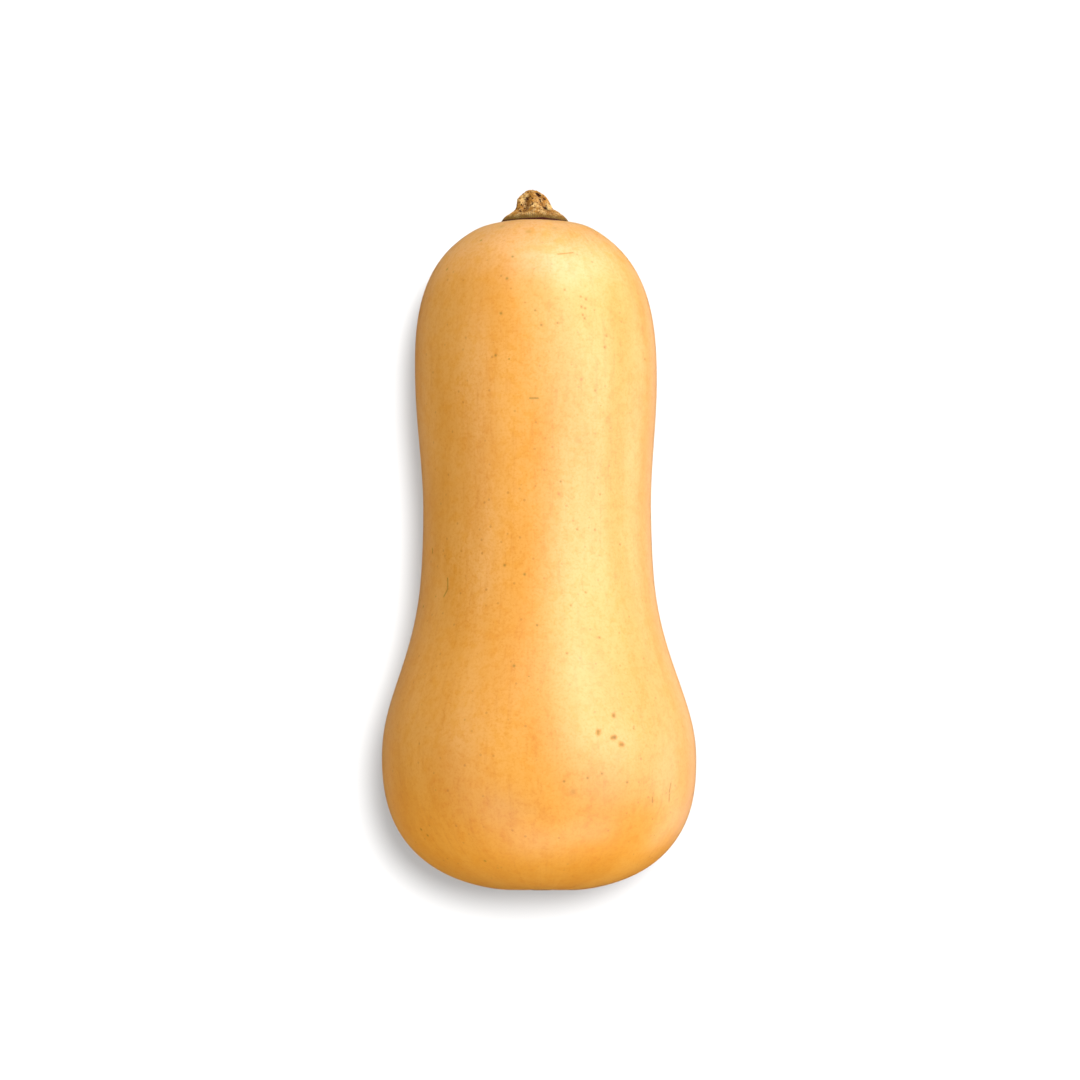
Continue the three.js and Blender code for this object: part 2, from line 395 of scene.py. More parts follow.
faces = BVHTree.FromPolygons([v.co for v in fruit_mesh.vertices], [p.vertices for p in fruit_mesh.polygons])


def on_skin(place):
    """Where the line of sight through a place at mid height meets the skin, in millimetres."""
    aim = np.array([*place, MID_HEIGHT]) - EYE
    found = faces.ray_cast(EYE * MM, aim / np.linalg.norm(aim))[0]
    return np.array(found) / MM


def scattered(count, seed):
    """Random points of the rings on the sides and the underside, which the camera doesn't see."""
    draw = np.random.default_rng(seed)
    ring = draw.integers(POLE_RINGS, FRUIT_ALONG - POLE_RINGS, count)
    k = (draw.uniform(*HIDDEN_SIDE, count) * FRUIT_AROUND).astype(int)
    return fruit_rings[ring, k]


def round_marks(places, kind):
    """One row for each mark of no length: its place twice, and its kind's radius, depth and stain."""
    return [(place, place, *kind) for place in places]


def long_marks(ends, kind):
    """One row for each mark seen as a line: its ends on the skin, and its radius, depth and stain."""
    return [(on_skin(start), on_skin(end), *kind) for start, end in ends]


marks = [
    *round_marks([on_skin(place) for place in SPECKS], SPECK),
    *round_marks([on_skin(place) for place in BLOTCHES], BLOTCH),
    *long_marks(SCRATCHES, SCRATCH),
    *long_marks(POCKS, POCK),
    *round_marks(scattered(60, seed=21), SPECK),
    *round_marks(scattered(14, seed=22), BLOTCH),
    *round_marks(scattered(6, seed=23), HIDDEN_POCK),
]
print(len(marks), "marks on the rind")

# %% [markdown]
# A face of the mesh is a millimetre and a half wide, which is too coarse for a speck of one millimetre. A
# finer mesh all over would be heavy, so only the faces round a mark are cut again.

# %% Finer faces round the marks
FINE_CUTS = 4
FINE_MARGIN = 0.7
TINY = 1e-9


def from_line(points, start, end):
    """Distance of points from a line between two ends, which may be the same point."""
    span = end - start
    share = np.clip((points - start) @ span / max(span @ span, TINY), 0.0, 1.0)
    return np.linalg.norm(points - start - share[:, None] * span, axis=-1)


def point_array(mesh):
    """The points of a mesh as an array in millimetres."""
    found = np.empty(len(mesh.vertices) * 3, np.float32)
    mesh.vertices.foreach_get("co", found)
    return found.reshape(-1, 3).astype(float) / MM


def cut_near_marks(mesh):
    """Cuts the faces that lie within a mark's radius and a margin into smaller ones."""
    near = np.zeros(len(mesh.vertices), bool)
    points = point_array(mesh)
    for start, end, radius, _, _ in marks:
        near |= from_line(points, start, end) < radius + FINE_MARGIN
    cut = bmesh.new()
    cut.from_mesh(mesh)
    cut.verts.ensure_lookup_table()
    chosen = {face for k in np.flatnonzero(near) for face in cut.verts[k].link_faces}
    edges = [edge for edge in cut.edges if not chosen.isdisjoint(edge.link_faces)]
    bmesh.ops.subdivide_edges(cut, edges=edges, cuts=FINE_CUTS, use_grid_fill=True)
    bmesh.ops.triangulate(cut, faces=[face for face in cut.faces if len(face.verts) > 4])
    cut.to_mesh(mesh)
    cut.free()
    mesh.shade_smooth()


cut_near_marks(fruit_mesh)
fruit_mesh.calc_loop_triangles()
print("fruit now", len(fruit_mesh.loop_triangles), "triangles")

# %% [markdown]
# Each mark then sinks the skin as a soft bell across its width, and leaves its stain as a number that the
# rind's material reads. The bell has fallen to a fifth at the mark's radius.

# %% Sink and stain
BELL_STEEPNESS = 1.6

points = point_array(fruit_mesh)
normals = np.empty(len(points) * 3, np.float32)
fruit_mesh.vertex_normals.foreach_get("vector", normals)
sunk = np.zeros(len(points))
stained = np.zeros(len(points))
for start, end, radius, depth, stain in marks:
    bell = np.exp(-((from_line(points, start, end) / radius) ** 2) * BELL_STEEPNESS)
    sunk = np.maximum(sunk, depth * bell)
    stained = np.maximum(stained, stain * bell)
points -= normals.reshape(-1, 3) * sunk[:, None]
fruit_mesh.vertices.foreach_set("co", (points * MM).astype(np.float32).ravel())
keep_numbers(fruit_mesh, "stain", "FLOAT", stained)
print("deepest mark", round(float(sunk.max()), 2), "mm")

# %% [markdown]
# The corky button of the blossom end is a second number, because cork has another colour and no wax, though
# only its colour is set from it. The same number holds a ring round the stalk's foot, which is painted
# shade in the crease where the stalk meets the crown.

# %% Cork at both ends
BUTTON_EDGE = 0.6
BUTTON_FADE = 1.6
COLLAR_RADIUS = 11.8
COLLAR_WIDTH = 0.7
COLLAR_STRENGTH = 0.8

blossom_pole, crown_pole = poles
from_blossom = np.linalg.norm(points - blossom_pole, axis=-1)
from_crown = np.linalg.norm(points - crown_pole, axis=-1)
button = 1.0 - smooth((from_blossom - BUTTON_RADIUS + BUTTON_EDGE) / BUTTON_FADE)
# The ring round the stalk's foot is painted shade in the crease where the stalk meets the crown.
shade_ring = np.exp(-(((from_crown - COLLAR_RADIUS) / COLLAR_WIDTH) ** 2))
keep_numbers(fruit_mesh, "cork", "FLOAT", np.maximum(button, COLLAR_STRENGTH * shade_ring))
fruit_mesh.update()
print("the button takes", int((button > 0.5).sum()), "points of the skin")

# %% [markdown]
# ## The stalk
#
# A dry squash stalk is hard, corky and five-ridged. Its foot flares where it grips the crown, and its top
# has worn to a crumbly knob. Sculpting it by hand would be the usual way. Here the solid's outline is
# carried round with the same five ridges, and then sunk along its normals.

# %% The stalk's outline
STALK_OUTLINE = [
    (12.6, 0.0),
    (11.8, 1.1),
    (10.3, 2.4),
    (8.2, 3.8),
    (6.7, 5.1),
    (5.95, 6.6),
    (5.45, 8.2),
    (4.2, 9.9),
    (1.9, 11.5),
    (0.0, 12.1),
]
STALK_HEIGHT = 12.1
STALK_LEAN = 0.95
STALK_RIDGES = 5
STALK_RIDGE_TURN = 1.48
STALK_RIDGE_HEIGHT = 0.6
RIDGE_HEIGHT_AT_FOOT = 0.18
RIDGE_FADE = 0.25
FOOT_LOBE = 0.45
FOOT_LOBE_AT = 0.32
FOOT_LOBE_SPREAD = 0.12
CURVE_STEPS = 50


def outline_curve(count):
    """Radius and height at even distances along a Catmull-Rom curve through the outline's points."""
    knots = np.pad(np.array(STALK_OUTLINE), ((1, 1), (0, 0)), mode="edge")
    t = np.linspace(0.0, 1.0, CURVE_STEPS, endpoint=False)[None, :, None]
    before, start, end, after = (knots[k : len(knots) - 3 + k, None] for k in range(4))
    leave = (end - before) / 2.0
    arrive = (after - start) / 2.0
    curve = (
        (2.0 * start - 2.0 * end + leave + arrive) * t**3
        + (-3.0 * start + 3.0 * end - 2.0 * leave - arrive) * t**2
        + leave * t
        + start
    ).reshape(-1, 2)
    curve = np.concatenate([curve, knots[-1:]])
    run = np.concatenate([[0.0], np.cumsum(np.linalg.norm(np.diff(curve, axis=0), axis=1))])
    even = np.linspace(0.0, run[-1], count)
    return np.interp(even, run, curve[:, 0]), np.interp(even, run, curve[:, 1])


print("the stalk's outline has", len(STALK_OUTLINE), "points and is", STALK_HEIGHT, "mm high")

# %% [markdown]
# A section across the stalk is a wavy ring of five ridges, lower at the foot and gone at the very top. The
# foot is fuller on its right side, and the whole stub leans a little to the left.

# %% The stalk's side
def stalk_points(share, radius, height, angle):
    """Side of the stalk: the outline with five ridges and a fuller right side, leaning to the left."""
    tall = height / STALK_HEIGHT
    ridge = np.cos(STALK_RIDGES * (angle - STALK_RIDGE_TURN))
    grown = RIDGE_HEIGHT_AT_FOOT + (STALK_RIDGE_HEIGHT - RIDGE_HEIGHT_AT_FOOT) * smooth(share / RIDGE_FADE)
    ridge_height = grown * smooth((1.0 - share) / RIDGE_FADE)
    lobe = FOOT_LOBE * np.cos(angle) * np.exp(-(((tall - FOOT_LOBE_AT) / FOOT_LOBE_SPREAD) ** 2))
    reach = radius + ridge_height * ridge + lobe
    across = reach * np.cos(angle) - STALK_LEAN * smooth(tall)
    return np.stack(np.broadcast_arrays(across, height, reach * np.sin(angle)), axis=-1)


# %% [markdown]
# Old cork crumbles into grains of every size, so noise of four sizes is added up. Where it has rotted the
# grains have fallen out and left pits. They lie by noise, and close together in the ovals where the picture
# shows them, given as seen from the front by their middle's x and height and half their sizes.

# %% Crumbly and pitted cork
CORK_SIZES = (1.0, 0.6, 0.35, 0.22)
CORK_SPAN = 2.5
PITS_EVERYWHERE = 0.3
ROTTED_PLACES = [
    (-2.0, 8.6, 1.3, 1.6),
    (-1.2, 4.9, 0.8, 3.0),
    (2.9, 7.5, 1.5, 2.0),
    (3.9, 5.3, 1.4, 1.2),
    (1.2, 10.2, 1.5, 0.8),
    (-4.9, 7.4, 1.0, 0.9),
    (6.0, 1.9, 1.2, 0.8),
]


def crumbly(points, seed):
    """Noise about 0.5 with lumps of each of the cork's sizes, each half as strong as the one before."""
    layers = [uneven(points, size, seed + k) / 2.0**k for k, size in enumerate(CORK_SIZES)]
    return 0.5 + sum(layers) / CORK_SPAN


def pitted(side):
    """How pitted the cork is: a low share all over, rising to 1 in the middle of each rotted oval."""
    share = np.full(side.shape[:2], PITS_EVERYWHERE)
    for x, height, half_width, half_height in ROTTED_PLACES:
        away = np.hypot((side[..., 0] - x) / half_width, (side[..., 1] - height) / half_height)
        share = np.maximum(share, np.exp(-(away**2)) * (side[..., 2] > 0.0))
    return share


print(len(ROTTED_PLACES), "rotted places, and grains of", CORK_SIZES, "mm")

# %% [markdown]
# The relief is added up in layers, each a whole array over the stalk's grid: wandering grooves between the
# ridges, fine striations on the foot, slow lumps, crumbled cork and its pits. How dark a place is goes into
# a number beside its depth: darkest in pits, darker in the bottoms of grooves and in the foot's striations.

# %% The stalk's relief
GROOVE_DEPTH = 0.55
GROOVE_WANDER = 0.7
GROOVE_WAVE = 4.0
STRIATIONS = 92
STRIATION_DEPTH = 0.1
STRIATION_WANDER = 2.0
STRIATION_WAVE = 3.0
LUMP_SIZE = 2.7
LUMP_DEPTH = 0.5
CRUMBLE_DEPTH = 0.5
PIT_DEPTH = 0.5
PIT_LEVEL = 0.78
PIT_LEVEL_DROP = 0.34
PIT_FADE = 0.22
STRIATION_DARKENING = 0.45
GROOVE_DARKENING = 0.35


def rises(share, start, width):
    """Where a layer of relief sets in: 0 up to a share of the way up the side, 1 from that width on."""
    return smooth((share - start) / width)


def stalk_relief(side, share, angle):
    """Depth below the smooth stalk in millimetres, and how dark each place is from 0 to 1."""
    on_foot = 1.0 - rises(share, start=0.34, width=0.2)
    above_foot = rises(share, start=0.1, width=0.25)
    on_shaft = rises(share, start=0.2, width=0.2) * (1.0 - rises(share, start=0.72, width=0.16))
    below_top = 1.0 - rises(share, start=0.75, width=0.2)
    valley_wander = GROOVE_WANDER * uneven(side, GROOVE_WAVE, seed=30)
    valley = (1.0 - np.cos(STALK_RIDGES * (angle - STALK_RIDGE_TURN) + valley_wander)) / 2.0
    line_wander = STRIATION_WANDER * uneven(side, STRIATION_WAVE, seed=31)
    lines = (1.0 + np.cos(STRIATIONS * angle + line_wander)) / 2.0
    lumps = (1.0 + uneven(side, LUMP_SIZE, seed=38)) / 2.0
    level = PIT_LEVEL - PIT_LEVEL_DROP * pitted(side)
    pits = smooth((crumbly(side, seed=44) - level) / PIT_FADE) * above_foot
    depth = (
        GROOVE_DEPTH * valley**3 * on_shaft
        + STRIATION_DEPTH * lines**2 * on_foot
        + LUMP_DEPTH * lumps * above_foot * below_top
        + CRUMBLE_DEPTH * crumbly(side, seed=32) ** 2 * above_foot
        + PIT_DEPTH * pits
    )
    dark = np.maximum(pits, STRIATION_DARKENING * lines**2 * on_foot) + GROOVE_DARKENING * valley**4 * on_shaft
    return depth, np.clip(dark, 0.0, 1.0)


# %% [markdown]
# The solid's stalk stands a hair clear of the crown. Here the foot follows the crown's curve and is sunk
# into it by a quarter of a millimetre, so that no light shows under it, and its top keeps the solid's
# height. Its underside shrinks towards the axis in a few rings.

# %% The stalk's mesh
STALK_AROUND = 320
STALK_UP = 160
STALK_UNDER = 8
STALK_GAP = 0.3
STALK_SINK = 0.25
SEAT_FADE = 4.0


def crown_drop(radius):
    """Depth of the crown below the end of the axis: its superellipse, less the shoulder's rise."""
    cap = (BODY_LENGTH - NECK_STATION) * (1.0 - cap_share(radius / NECK_RADIUS, CROWN_SQUARENESS))
    return cap - shoulder_rise(radius)


def on_crown(points):
    """Stalk points set on the crown: the crown's drop and the sinking fade out upwards as a soft step."""
    x, height, z = np.moveaxis(points, -1, 0)
    across, up = axis_offset(BODY_LENGTH)
    sunk_in = crown_drop(np.hypot(x, z)) + STALK_GAP + STALK_SINK
    seat = BODY_LENGTH + STALK_GAP - sunk_in * (1.0 - smooth(height / SEAT_FADE))
    return lying(np.stack([x + across, seat + height, z + up], axis=-1)) + shift


share = np.linspace(0.0, 1.0, STALK_UP + 1)[:, None]
outline_radius, outline_height = (part[:, None] for part in outline_curve(STALK_UP + 1))
stalk_angles = np.linspace(0.0, 2.0 * np.pi, STALK_AROUND, endpoint=False)[None]
stalk_side = stalk_points(share, outline_radius, outline_height, stalk_angles)[:-1]
relief, dark = stalk_relief(stalk_side, share[:-1], stalk_angles)
carved = stalk_side - outward(stalk_side) * relief[..., None]
shrink = np.linspace(0.0, 1.0, STALK_UNDER, endpoint=False)[1:, None, None]
underside = carved[:1] * np.concatenate([shrink, 0.0 * shrink, shrink], axis=-1)
stalk_rings = on_crown(np.concatenate([underside, carved]))
stalk_top = [-STALK_LEAN, STALK_HEIGHT - CRUMBLE_DEPTH / 4.0, 0.0]
stalk_poles = on_crown(np.array([[0.0, 0.0, 0.0], stalk_top]))
stalk_mesh = closed_mesh("squash_stalk", stalk_rings, *stalk_poles)
print("stalk", len(stalk_mesh.polygons), "faces, deepest relief", round(float(relief.max()), 2), "mm")

# %% [markdown]
# The foot is darker than the knob, and its rim, where it meets the rind, is painted shade for the crease
# there.
# Both go into numbers of their own, by height above the crown, with a wavy line for the rim.

# %% The stalk's tones
RIM_HEIGHT = 0.7
RIM_WANDER = 0.2
RIM_WAVE = 3.0
RIM_FADE = 0.35
FOOT_HEIGHT = 0.9
FOOT_FADE = 2.2


def over_stalk(values):
    """A number for each point of the stalk: 0 on the underside and the given rings above it."""
    rings = np.concatenate([np.zeros((STALK_UNDER - 1, STALK_AROUND)), values])
    return np.concatenate([[0.0], rings.ravel(), rings[-1:, 0]])


# The rim is painted shade: a dark band along the foot's lower edge, where the stalk meets the crown.
rim_line = RIM_HEIGHT + RIM_WANDER * uneven(stalk_side, RIM_WAVE, seed=50)
rim = 1.0 - smooth((stalk_side[..., 1] - rim_line) / RIM_FADE)
foot = 1.0 - smooth((stalk_side[..., 1] - FOOT_HEIGHT) / FOOT_FADE)
keep_numbers(stalk_mesh, "hollow", "FLOAT", over_stalk(dark))
keep_numbers(stalk_mesh, "rim", "FLOAT", over_stalk(rim))
keep_numbers(stalk_mesh, "foot", "FLOAT", over_stalk(foot))
print("the stalk's side is", round(100.0 * float(dark.mean())), "percent dark on average")

# %% [markdown]
# ## Adding nodes
#
# A material is a small graph. One helper adds a node, sets its own settings and fills its sockets with
# numbers or links, so that each material below reads from top to bottom. Colours are written as they would
# be picked on a screen, and one function turns them into the linear values that light needs.

# %% Node helpers
def linear(hex_code):
    """An sRGB colour such as #EDAA47 as linear red, green and blue with an alpha of 1."""
    parts = [int(hex_code[k : k + 2], 16) / 255.0 for k in (1, 3, 5)]
    return [p / 12.92 if p <= 0.04045 else ((p + 0.055) / 1.055) ** 2.4 for p in parts] + [1.0]


def add(tree, kind, sockets=None, **settings):
    """Adds a shader node and returns its outputs. A socket is given a value, or an output to link."""
    node = tree.nodes.new("ShaderNode" + kind)
    for name, value in settings.items():
        setattr(node, name, value)
    for socket, value in (sockets or {}).items():
        if isinstance(value, bpy.types.NodeSocket):
            tree.links.new(value, node.inputs[socket])
        else:
            node.inputs[socket].default_value = value
    return node.outputs


def new_material(name, **sockets):
    """A material with one Principled shader, whose sockets that are the same all over are set here."""
    material = bpy.data.materials.new(name)
    material.use_nodes = True
    shader = material.node_tree.nodes["Principled BSDF"]
    for socket, value in sockets.items():
        shader.inputs[socket.replace("_", " ")].default_value = value
    return material, material.node_tree, shader


print("#EDAA47 is", [round(part, 3) for part in linear("#EDAA47")], "in linear values")

# %% [markdown]
# ## Waxy squash rind
#
# The rind is a hard skin under a natural bloom of wax, which grew and was never worked, so it is even and
# satin rather than polished. Close up it is not one tan. Two yellow-oranges drift into each other in
# patches drawn out along the grain, with mottles of a few millimetres, a fine grain, streaks along it and
# freckles a millimetre across. The crown is peach, and painted paler as well, which stands in for light
# from beyond the stalk. Towards the base a tint takes blue and some green away, partly a deeper tone and
# partly painted shade.
#
# A stain takes light away, so each layer multiplies the colour by a tint. The rind's red is nearly as
# bright as a picture can show. A tint that took red away would turn the rind muddy, so the tints of the
# pattern mostly take green and blue.

# %% Waxy squash rind
PATCH_WIDTH = 12 * MM
PATCH_LENGTH = 40 * MM
MOTTLE_SIZE = 3.4 * MM
STREAK_WIDTH = 1.5 * MM
STREAK_LENGTH = 14 * MM
GRAIN_SIZE = 0.9 * MM
FRECKLE_SPACING = 4.5 * MM
SPECK_SPACING = 9 * MM
DULLING_SIZE = 6 * MM
WAVE_SIZE = 3 * MM
WAVE_HEIGHT = 0.06 * MM

PALE_RIND = "#F2B056"
DEEP_RIND = "#ECA541"
MOTTLE_TINT = "#FBF0B8"
STREAK_TINT = "#F6E6BE"
GRAIN_TINT = "#F9EAAE"
FRECKLE_TINT = "#E4D2A0"
# Partly a deeper tone towards the blossom end and partly painted shade there.
BASE_TONE_AND_SHADE_TINT = "#FCF3BC"
# Paler than the crown's own peach: partly painted light at the crown.
CROWN_PEACH_AND_LIGHT = "#FDC88F"
SCAR_TINT = "#BCC24F"
# Cork of the button, and painted shade in the ring round the stalk's foot.
BUTTON_CORK_AND_SHADE_BROWN = "#8A6236"

PATCH_RANGE = (0.34, 0.66)
MOTTLE_RANGE = (0.43, 0.68)
STREAK_RANGE = (0.5, 0.8)
GRAIN_RANGE = (0.42, 0.75)
CROWN_RANGE = (205 * MM, 236 * MM)
BASE_RANGE = (62 * MM, 20 * MM)
FRECKLE_RADIUS_AND_EDGE = (0.06, 0.08)
SPECK_RADIUS_AND_EDGE = (0.02, 0.03)
CROWN_STRENGTH = 0.7
STREAK_STRENGTH = 0.6
FRECKLE_STRENGTH = 0.7
SPECK_STRENGTH = 0.6
BUTTON_STRENGTH = 0.85
WAXED_ROUGHNESS = (0.36, 0.5)
MARK_ROUGHNESS = 0.8
print("a patch is about", round(PATCH_WIDTH / MM), "x", round(PATCH_LENGTH / MM), "mm")

# %% [markdown]
# A pattern is noise or scattered spots, stretched to a number from 0 to 1 that says where its colour lies.
# Both materials use the same few helpers.

# %% Pattern helpers
def spread(tree, value, low, high):
    """A number stretched by a soft step so that low becomes 0 and high becomes 1."""
    sockets = {"Value": value, "From Min": low, "From Max": high}
    return add(tree, "MapRange", sockets, interpolation_type="SMOOTHSTEP")["Result"]


def spots(tree, where, spacing, radius, edge):
    """1 within a radius of scattered points and 0 past a soft edge, both in shares of their spacing."""
    cells = add(tree, "TexVoronoi", {"Vector": where, "Scale": 1.0 / spacing}, feature="F1")
    return spread(tree, cells["Distance"], radius + edge, radius)


def times(tree, value, factor):
    """A number or an output times another."""
    return add(tree, "Math", {0: value, 1: factor}, operation="MULTIPLY")["Value"]


def mixed(tree, factor, first, second):
    """The first colour, and the second where the factor is 1."""
    return add(tree, "MixRGB", {"Fac": factor, "Color1": first, "Color2": second})["Color"]


def tinted(tree, factor, colour, tint):
    """The colour multiplied by a tint where the factor is 1, as a thin stain takes light away."""
    sockets = {"Fac": factor, "Color1": colour, "Color2": linear(tint)}
    return add(tree, "MixRGB", sockets, blend_type="MULTIPLY")["Color"]


def noise(tree, where, size, detail):
    """Noise from 0 to 1 whose coarsest lumps are about that size."""
    sockets = {"Vector": where, "Scale": 1.0 / size, "Detail": detail, "Roughness": 0.6}
    return add(tree, "TexNoise", sockets)["Fac"]


def drawn_out(tree, grain_way, stretch):
    """The grain coordinate shortened along the station, so that a pattern on it is longer than wide."""
    sockets = {0: grain_way, 1: (1.0, 1.0, 1.0 / stretch)}
    return add(tree, "VectorMath", sockets, operation="MULTIPLY")["Vector"]


# %% [markdown]
# The layers go on from the broadest to the finest, and the marks go over all of them. Noise and spots are
# solid patterns in the piece's own coordinates. Only patches and streaks follow the grain attribute.

# %% The rind's colour
def rind_colour(tree, where, grain_way):
    """Patches, crown peach and painted light, tinted by mottles, streaks, grain, freckles, base and marks.
    """
    along_patches = drawn_out(tree, grain_way, PATCH_LENGTH / PATCH_WIDTH)
    patches = spread(tree, noise(tree, along_patches, PATCH_WIDTH, 6.0), *PATCH_RANGE)
    colour = mixed(tree, patches, linear(PALE_RIND), linear(DEEP_RIND))
    station = add(tree, "SeparateXYZ", {"Vector": grain_way})["Z"]
    # The crown's peach is partly painted light, paler than its own tone towards the stalk.
    crown = times(tree, spread(tree, station, *CROWN_RANGE), CROWN_STRENGTH)
    colour = mixed(tree, crown, colour, linear(CROWN_PEACH_AND_LIGHT))
    mottles = spread(tree, noise(tree, where, MOTTLE_SIZE, 4.0), *MOTTLE_RANGE)
    colour = tinted(tree, mottles, colour, MOTTLE_TINT)
    along_streaks = drawn_out(tree, grain_way, STREAK_LENGTH / STREAK_WIDTH)
    streaks = spread(tree, noise(tree, along_streaks, STREAK_WIDTH, 2.0), *STREAK_RANGE)
    colour = tinted(tree, times(tree, streaks, STREAK_STRENGTH), colour, STREAK_TINT)
    grain = spread(tree, noise(tree, where, GRAIN_SIZE, 3.0), *GRAIN_RANGE)
    colour = tinted(tree, grain, colour, GRAIN_TINT)
    freckles = spots(tree, where, FRECKLE_SPACING, *FRECKLE_RADIUS_AND_EDGE)
    colour = tinted(tree, times(tree, freckles, FRECKLE_STRENGTH), colour, FRECKLE_TINT)
    # Towards the blossom end: partly a deeper tone, partly painted shade.
    colour = tinted(tree, spread(tree, station, *BASE_RANGE), colour, BASE_TONE_AND_SHADE_TINT)
    specks = times(tree, spots(tree, where, SPECK_SPACING, *SPECK_RADIUS_AND_EDGE), SPECK_STRENGTH)
    stain = add(tree, "Attribute", attribute_name="stain")["Fac"]
    darker = add(tree, "Math", {0: stain, 1: specks}, operation="MAXIMUM")["Value"]
    colour = tinted(tree, darker, colour, SCAR_TINT)
    # The cork number also carries the ring round the stalk's foot, so there this brown is painted shade.
    button = times(tree, add(tree, "Attribute", attribute_name="cork")["Fac"], BUTTON_STRENGTH)
    return mixed(tree, button, colour, linear(BUTTON_CORK_AND_SHADE_BROWN)), darker


# %% [markdown]
# A thin clear coat stands for the wax, a little glossier than the skin under it. The skin's roughness
# drifts, because it has been rubbed in places, and the marks are dull.

# %% The rind
def rind():
    """Satin wax over a hard rind, with a slow waviness and pores too shallow to be modelled."""
    material, tree, shader = new_material(
        "waxy_squash_rind",
        IOR=1.6,
        Specular_IOR_Level=0.8,
        Coat_Weight=0.4,
        Coat_Roughness=0.28,
    )
    where = add(tree, "TexCoord")["Object"]
    grain_way = add(tree, "Attribute", attribute_name="grain")["Vector"]
    colour, darker = rind_colour(tree, where, grain_way)
    tree.links.new(colour, shader.inputs["Base Color"])
    smooth_wax, dull_wax = WAXED_ROUGHNESS
    dulling = noise(tree, where, DULLING_SIZE, 4.0)
    waxed = add(tree, "MapRange", {"Value": dulling, "To Min": smooth_wax, "To Max": dull_wax})["Result"]
    rough = add(tree, "MapRange", {"Value": darker, "To Min": waxed, "To Max": MARK_ROUGHNESS})["Result"]
    tree.links.new(rough, shader.inputs["Roughness"])
    waves = noise(tree, where, WAVE_SIZE, 3.0)
    bump = add(tree, "Bump", {"Strength": 0.5, "Distance": WAVE_HEIGHT, "Height": waves})["Normal"]
    tree.links.new(bump, shader.inputs["Normal"])
    return material


fruit_mesh.materials.append(rind())
print("rind material has", len(fruit_mesh.materials[0].node_tree.nodes), "nodes")

# %% [markdown]
# ## Dry corky stalk
#
# The stalk dried on the plant and was broken off. It is fibrous cork: golden tan and cream by patches, with
# rusty speckles, olive brown on the foot and dark brown in pits and grooves. Where the foot meets the rind
# a maroon, nearly black, is painted shade for the crease. It has no wax and hardly any gloss.

# %% Dry corky stalk
CORK_TAN = "#B98034"
CORK_CREAM = "#E8C07A"
CORK_RUST = "#713C12"
CORK_OLIVE = "#5F4A16"
PIT_BROWN = "#42200F"
# Painted shade for the crease where the foot meets the rind.
CREASE_SHADE_MAROON = "#3A0F04"

CREAM_PATCH_SIZE = 2.2 * MM
SPECKLE_SIZE = 1 * MM
DARKENING_NOISE_SIZE = 0.7 * MM
FIBRE_SIZE = 0.45 * MM
FIBRE_HEIGHT = 0.12 * MM
CREAM_RANGE = (0.44, 0.64)
SPECKLE_RANGE = (0.46, 0.7)
PIT_RANGE = (0.08, 0.6)
SPECKLE_STRENGTH = 0.95
OLIVE_STRENGTH = 0.85
DARKENING_STRENGTH = 1.9


def cork_colour(tree, where):
    """Tan and cream patches with rusty speckles, an olive foot, brown by depth and a rim of painted shade.
    """
    patches = spread(tree, noise(tree, where, CREAM_PATCH_SIZE, 4.0), *CREAM_RANGE)
    hollow = add(tree, "Attribute", attribute_name="hollow")["Fac"]
    foot_share = add(tree, "Attribute", attribute_name="foot")["Fac"]
    rim_shade_share = add(tree, "Attribute", attribute_name="rim")["Fac"]
    colour = mixed(tree, patches, linear(CORK_TAN), linear(CORK_CREAM))
    speckles = spread(tree, noise(tree, where, SPECKLE_SIZE, 5.0), *SPECKLE_RANGE)
    colour = mixed(tree, times(tree, speckles, SPECKLE_STRENGTH), colour, linear(CORK_RUST))
    colour = mixed(tree, times(tree, foot_share, OLIVE_STRENGTH), colour, linear(CORK_OLIVE))
    depth_darkening = times(tree, noise(tree, where, DARKENING_NOISE_SIZE, 3.0), DARKENING_STRENGTH)
    colour = mixed(tree, spread(tree, times(tree, hollow, depth_darkening), *PIT_RANGE), colour, linear(PIT_BROWN))
    # The maroon rim is painted shade in the crease where the foot meets the rind.
    return mixed(tree, rim_shade_share, colour, linear(CREASE_SHADE_MAROON))


def cork():
    """Rough fibrous cork with a grain of about half a millimetre."""
    material, tree, shader = new_material("dry_corky_stalk", Roughness=0.85, Specular_IOR_Level=0.25)
    where = add(tree, "TexCoord")["Object"]
    tree.links.new(cork_colour(tree, where), shader.inputs["Base Color"])
    fibres = noise(tree, where, FIBRE_SIZE, 3.0)
    bump = add(tree, "Bump", {"Strength": 0.6, "Distance": FIBRE_HEIGHT, "Height": fibres})["Normal"]
    tree.links.new(bump, shader.inputs["Normal"])
    return material


stalk_mesh.materials.append(cork())
print("cork material has", len(stalk_mesh.materials[0].node_tree.nodes), "nodes")

# %% [markdown]
# ## The pieces in the frame
#
# Each piece rides on the only body and stands for its solid, whose imported mesh is hidden.

# %% The pieces
def piece(mesh, node):
    """Puts a mesh in the scene as the piece that stands for a solid."""
    made = bpy.data.objects.new(mesh.name, mesh)
    bpy.context.scene.collection.objects.link(made)
    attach(made, "root")
    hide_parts(node)
    return made


squash_pieces = [piece(fruit_mesh, "fruit"), piece(stalk_mesh, "stalk")]
print("pieces:", [item.name for item in squash_pieces])

# %% [markdown]
# ## The table and the light
#
# The picture has a pure white ground with a short soft shadow to the left and below, and a broad soft light
# from the right that leaves a pale sheen on the right half of the skin. One set of lamps can't do both: a
# softbox that low throws a long shadow, and white ground all round would be mirrored in the dark left
# flank. So the squash and the table are lit apart, as if they were photographed in turn. The table is seen
# by the camera only. It is a grey sheet that its own lamp, nearly overhead, and a glow burn out to white.
# The stage and its lamps are measured in metres.

